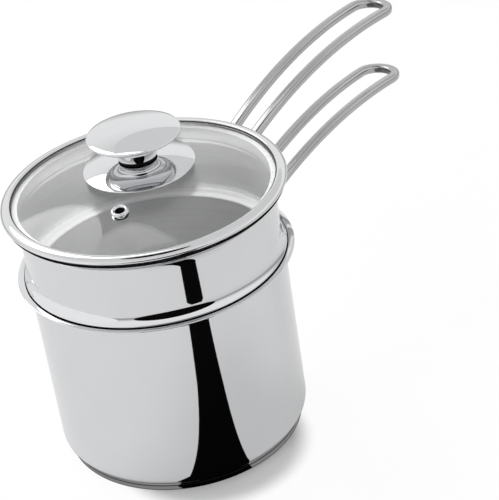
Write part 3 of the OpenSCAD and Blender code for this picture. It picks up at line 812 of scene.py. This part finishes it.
# Steam vent. A steel sleeve goes through the glass and is rolled over above and below, with a
# silicone ring under the upper collar.
gasket_t = 0.0006
collar_w = 0.0019
collar_r = vent_bore_r + collar_w
vent_roll = 0.0007
vent_sag = collar_r ** 2 / (2 * glass_ball)
sleeve_top = gasket_t + 2 * welded_gap + sleeve_t
sleeve_low = -glass_t - vent_sag - welded_gap - sleeve_t
collar_edge = 0.0003
roll_z = sleeve_top - sleeve_t
roll_r, roll_w = (collar_r + vent_hole_r) / 2, (collar_r - vent_hole_r) / 2
roll = corners(*[(roll_r + roll_w * cos(a), roll_z + (sleeve_t + vent_roll) * sin(a))
                 for a in [pi * i / 20 for i in range(21)]])
small_segments = 96
sleeve = turned("vent_sleeve_ring", (
    corners((vent_hole_r, sleeve_low + collar_edge), (vent_hole_r + collar_edge, sleeve_low))
    + arc(collar_r - collar_edge, sleeve_low + collar_edge / 2, collar_edge / 2, -90, 90, 6)
    + corners((vent_hole_r + sleeve_t, sleeve_low + sleeve_t), (vent_hole_r + sleeve_t, roll_z))
    + roll), mirror, small_segments)
# Painted shade: the bore is painted near black, so the hole looks dark.
second_finish(sleeve, painted_shade, lambda c, n: off_axis(c) < vent_hole_r + welded_gap and c.z < roll_z)
sleeve.data.transform(at_vent)
placed(sleeve, "lid", ["vent_sleeve"])
gasket_r, gasket_top = collar_r - vent_roll, welded_gap + gasket_t
gasket = turned("vent_gasket_ring", corners(
    (vent_bore_r, welded_gap), (gasket_r, welded_gap),
    (gasket_r, gasket_top), (vent_bore_r, gasket_top)), silicone, small_segments)
gasket.data.transform(at_vent)
placed(gasket, "lid", ["vent_gasket"])

# Knob. A shallow polished cap with its edge hemmed under sits on a turned neck that flares out
# beneath it. A domed plate shields the glass, and a bush keeps that plate clear of it.
knob_r = 0.027
knob_dome = 0.0028
knob_sheet = 0.0008
hem_w = 0.0042
hem_gap = 0.0001
hem_r = knob_r - hem_w
hem_bend = knob_sheet + hem_gap
knob_top_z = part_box("knob_cap")[1].z
knob_edge_z = knob_top_z - knob_dome
knob_ball = (knob_r ** 2 + knob_dome ** 2) / (2 * knob_dome)
dome_angle = asin(knob_r / knob_ball) * 180 / pi
cap_radii = [knob_r * i / 40 for i in range(37, -1, -1)]
knob_cap = turned("knob_cap_shell", sheet_outline(
    corners((hem_r, knob_edge_z - 2 * hem_bend))
    + arc(knob_r - hem_bend, knob_edge_z - hem_bend, hem_bend, -90, 90 - dome_angle)
    + corners(*[(r, knob_top_z - knob_ball + sqrt(knob_ball ** 2 - r * r)) for r in cap_radii]),
    knob_sheet), mirror)
placed(knob_cap, "lid", ["knob_cap"])

neck_r = 0.0115
neck_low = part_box("knob_neck")[0].z
neck_high = knob_edge_z - welded_gap
groove_h = 0.0012
groove_in = 0.0009
neck_h = 0.005
neck_edge = 0.0002
neck_lip = 0.0006
flare_h = neck_high - 2 * hem_bend - neck_lip - neck_low - neck_h
screw_hole_r = 0.00255
screw_depth = 0.009
neck_in, neck_step = neck_r - groove_in, neck_low + groove_h
neck = turned("knob_neck_turning", (
    corners((0, neck_low + screw_depth), (screw_hole_r, neck_low + screw_depth),
            (screw_hole_r, neck_low), (neck_in, neck_low), (neck_in, neck_step),
            (neck_r - neck_edge, neck_step), (neck_r, neck_step + neck_edge))
    + corners(*[(neck_r + (hem_r - neck_r - welded_gap) * (1 - cos(a)),
                 neck_low + neck_h + flare_h * sin(a)) for a in quarter(32)])
    + corners((hem_r - welded_gap, neck_high - 2 * hem_bend + knob_sheet), (0, neck_high - neck_lip))),
    mirror)
# Painted shade: the groove at the neck's foot is painted near black.
second_finish(neck, painted_shade, lambda c, n: c.z < neck_low + groove_h + neck_edge / 2 and n.z < 0.5)
placed(neck, "lid", ["knob_neck"])

shield_top_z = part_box("knob_plate")[1].z
shield_r = 0.0322
shield_t = 0.0008
shield_dome = 0.0049
shield_land = neck_r - groove_in
shield_drop = (shield_r ** 2 - shield_land ** 2 - shield_dome ** 2) / (2 * shield_dome)
shield_ball = hypot(shield_drop, shield_r)
shield_base = shield_top_z - sqrt(shield_ball ** 2 - shield_land ** 2)
screw_room_r = 0.003
shield_radii = [shield_r + (shield_land - shield_r) * i / 40 for i in range(41)]
shield = turned("knob_shield_plate", sheet_outline(
    corners(*[(r, shield_base + sqrt(shield_ball ** 2 - r * r)) for r in shield_radii])
    + corners((screw_room_r, shield_top_z)), shield_t), mirror)
# Painted shade: the plate's underside takes the darker satin steel.
second_finish(shield, satin, lambda c, n: n.z < -0.2)
placed(shield, "lid", ["knob_plate"])


ring_edge = 0.00015


def turned_ring(name, node, finish):
    """A flat ring round the screw with its corners broken, in the place of a plain one."""
    low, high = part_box(node)
    outer_r = high.x
    ring = turned(name, corners(
        (screw_room_r, low.z), (outer_r - ring_edge, low.z), (outer_r, low.z + ring_edge),
        (outer_r, high.z - ring_edge), (outer_r - ring_edge, high.z), (screw_room_r, high.z)),
        finish, small_segments)
    placed(ring, "lid", [node])


turned_ring("knob_bush_ring", "knob_bush", cast)
turned_ring("knob_upper_seal", "knob_top_washer", silicone)
turned_ring("knob_lower_seal", "knob_under_washer", silicone)
turned_ring("knob_clamp_washer", "knob_steel_washer", satin)
refinished("knob_screw", satin)

# Floor and light. A pale floor, a broad soft lamp high behind, a weaker one on the left and a
# narrow one from the front. Boards and panels stand round the pans and show only in metal and glass.
floor_half = 4.0
floor_corners = [(x * floor_half, y * floor_half, 0) for x, y in ((-1, -1), (1, -1), (1, 1), (-1, 1))]
floor = new_piece("floor", floor_corners, (), [(0, 1, 2, 3)])


def mirror_rays(tree):
    """The light path's outputs, and a share that is 1 for what metal and glass show."""
    path = tree.nodes.new("ShaderNodeLightPath").outputs
    return path, maths(tree, "MAXIMUM", path["Is Glossy Ray"], path["Is Transmission Ray"])


def pale_floor(name, colour, lift, mirror_lift, mirror_level):
    """Matt white paper. The camera sees it whiter than it is, and metal sees its shade evened out."""
    material, tree, shader = new_material(name)
    shader.inputs["Roughness"].default_value = 0.9
    shader.inputs["Specular IOR Level"].default_value = 0.1
    place = tree.nodes.new("ShaderNodeTexCoord").outputs["Object"]
    painted(tree, shader, noise_between(tree, place, 3, 0, 1), colour, depth=0.99)
    path, shown = mirror_rays(tree)
    even = add_node(tree, "ShaderNodeEmission", Color=(1, 1, 1, 1),
                    Strength=spread(tree, shown, 1.0, mirror_level, 0.0, 1.0))
    off = add_node(tree, "ShaderNodeVectorMath", {"operation": "SUBTRACT"}, _0=place, _1=shade_middle)
    reach = add_node(tree, "ShaderNodeVectorMath", {"operation": "LENGTH"}, _0=off.outputs[0])
    clear = add_node(tree, "ShaderNodeMapRange", {"interpolation_type": "SMOOTHSTEP"},
                     _0=reach.outputs["Value"], _1=shade_in, _2=shade_out, _3=shade_lift, _4=lift)
    seen = maths(tree, "MULTIPLY", path["Is Camera Ray"], clear.outputs[0])
    share = maths(tree, "ADD", seen, maths(tree, "MULTIPLY", shown, mirror_lift))
    mix = add_node(tree, "ShaderNodeMixShader", _0=share, _1=shader.outputs[0], _2=even.outputs[0])
    tree.links.new(mix.outputs[0], tree.nodes["Material Output"].inputs["Surface"])
    return material


shade_middle = (-0.015, -0.035, 0)
shade_in, shade_out = 0.046, 0.062
shade_lift = 0.04
paper = pale_floor("pale floor", (0.90, 0.90, 0.905), lift=0.95, mirror_lift=0.6, mirror_level=0.68)
floor.data.materials.append(paper)


def board_black(name):
    """Dull black cloth that gives no light back."""
    material, _, shader = new_material(name)
    shader.inputs["Base Color"].default_value = (0.003, 0.003, 0.003, 1)
    shader.inputs["Specular IOR Level"].default_value = 0
    shader.inputs["Roughness"].default_value = 1
    return material


def lit_panel(name, level):
    """White cloth with a lamp behind it."""
    material, tree, _ = new_material(name)
    light = add_node(tree, "ShaderNodeEmission", Color=(1, 1, 1, 1), Strength=level)
    tree.links.new(light.outputs[0], tree.nodes["Material Output"].inputs["Surface"])
    return material


dark_cloth = board_black("dark cloth")
white_cloth = lit_panel("white cloth", 0.97)
bright_cloth = lit_panel("bright cloth", 1.9)
box_cloth = lit_panel("box cloth", 2.4)
dim_cloth = lit_panel("dim cloth", 0.72)
grey_cloth = lit_panel("grey cloth", 0.42)


def board(name, points, faces, finish):
    """A board that only mirrors and glass show."""
    piece = new_piece(name, points, (), faces)
    piece.data.materials.append(finish)
    piece.visible_camera = False
    piece.visible_diffuse = False
    piece.visible_shadow = False


def ring_board(name, inner_r, outer_r, z, finish, steps=96):
    """A flat ring that lies on the floor round the pans."""
    turns = [2 * pi * i / steps for i in range(steps)]
    points = [Vector((r * cos(a), r * sin(a), z)) for r in (inner_r, outer_r) for a in turns]
    faces = [(i, (i + 1) % steps, steps + (i + 1) % steps, steps + i) for i in range(steps)]
    board(name, points, faces, finish)


def round_board(name, azimuth, elevation, half_width, half_height, finish, away=1.6, lean=0.0, steps=48):
    """An oval board that faces the pans, given by its direction and its half sizes in degrees."""
    rim = []
    for i in range(steps):
        turn = 2 * pi * i / steps
        a = radians(azimuth + half_width * cos(turn))
        e = radians(elevation + lean * half_width * cos(turn) + half_height * sin(turn))
        rim.append(pans_middle + away * Vector((cos(e) * cos(a), cos(e) * sin(a), sin(e))))
    board(name, rim, [tuple(range(steps))], finish)


pans_middle = Vector((0, 0, 0.13))
gap_z = 0.0006
cloth_z = 0.0004
ceiling_z = 1.6
gap_way = Matrix.Rotation(radians(-107.7), 4, "Z")
gap_rows = ((0.060, -0.044, 0.000), (0.160, -0.042, 0.011),
            (0.240, -0.047, 0.017), (0.50, -0.054, 0.018))
gap_points = [gap_way @ Vector((far, side, gap_z))
              for far, left, right in gap_rows for side in (left, right)]
board("floor_gap", gap_points, [(2 * i, 2 * i + 1, 2 * i + 3, 2 * i + 2) for i in range(3)], dark_cloth)
# Painted shadow: dark and grey rings round the base, seen only in metal, stand in for its contact
# shadow.
ring_board("floor_painted_contact_shadow", 0.060, 0.0722, cloth_z, dark_cloth)
ring_board("floor_shade", 0.0722, 0.0765, cloth_z, grey_cloth)
round_board("dark_door", -127.3, 3.2, 32, 13.5, dark_cloth, away=0.62)
round_board("soft_box", 83, 45.5, 21, 17, box_cloth)
round_board("dim_wall", 15, 48, 42, 20, dim_cloth)
round_board("side_panel", 147, -3.4, 43, 14.5, white_cloth, away=0.36, lean=0.18)
round_board("high_box", 58, 64, 27, 8, bright_cloth)
ring_board("ceiling_cloth", 0.33, 0.85, ceiling_z, dim_cloth)
ring_board("ceiling_gap", 0.02, 0.33, ceiling_z, dark_cloth)


def studio_lamp(name, kind, place, aim, power, settings):
    """A lamp pointed at a place. Metal and glass show the panels in its place."""
    data = bpy.data.lights.new(name, kind)
    data.energy = power
    for setting, value in settings.items():
        setattr(data, setting, value)
    lamp = bpy.data.objects.new(name, data)
    lamp.visible_glossy = False
    lamp.visible_transmission = False
    lamp.location = place
    lamp.rotation_mode = "QUATERNION"
    lamp.rotation_quaternion = (Vector(aim) - Vector(place)).to_track_quat("-Z", "Y")
    scene.collection.objects.link(lamp)


studio_lamp("key_lamp", "AREA", (0.19, 1.07, 1.68), (0, 0, 0.1), 22,
            {"shape": "DISK", "size": 1.0})
studio_lamp("fill_lamp", "AREA", (-1.5, 0.1, 1.0), (0, 0, 0.1), 6,
            {"shape": "DISK", "size": 1.2})
studio_lamp("snoot_lamp", "SPOT", (-1.0, -1.05, 1.25), (0.02, 0.02, 0.15), 90,
            {"spot_size": radians(8), "spot_blend": 0.6, "shadow_soft_size": 0.04})

world = bpy.data.worlds.new("white studio")
world.use_nodes = True
scene.world = world
tree = world.node_tree
path, shown = mirror_rays(tree)
horizon_level, wall_level, top_share, lamp_fill = 0.35, 0.93, 0.82, 0.55
way = tree.nodes.new("ShaderNodeTexCoord").outputs["Generated"]
rise = add_node(tree, "ShaderNodeSeparateXYZ", Vector=way).outputs["Z"]
eased = {"interpolation_type": "SMOOTHSTEP"}
wall = add_node(tree, "ShaderNodeMapRange", eased,
                _0=rise, _1=0.0, _2=0.24, _3=horizon_level, _4=wall_level)
top = add_node(tree, "ShaderNodeMapRange", eased, _0=rise, _1=0.42, _2=0.72, _3=1.0, _4=top_share)
tent = maths(tree, "MULTIPLY", wall.outputs[0], top.outputs[0])
fill = add_node(tree, "ShaderNodeMix", {"data_type": "FLOAT"}, _0=shown, _2=lamp_fill, _3=tent)
level = maths(tree, "MAXIMUM", fill.outputs[0], path["Is Camera Ray"])
tree.links.new(level, tree.nodes["Background"].inputs["Strength"])
tree.nodes["Background"].inputs["Color"].default_value = (1, 1, 1, 1)
scene.view_settings.view_transform = "Standard"
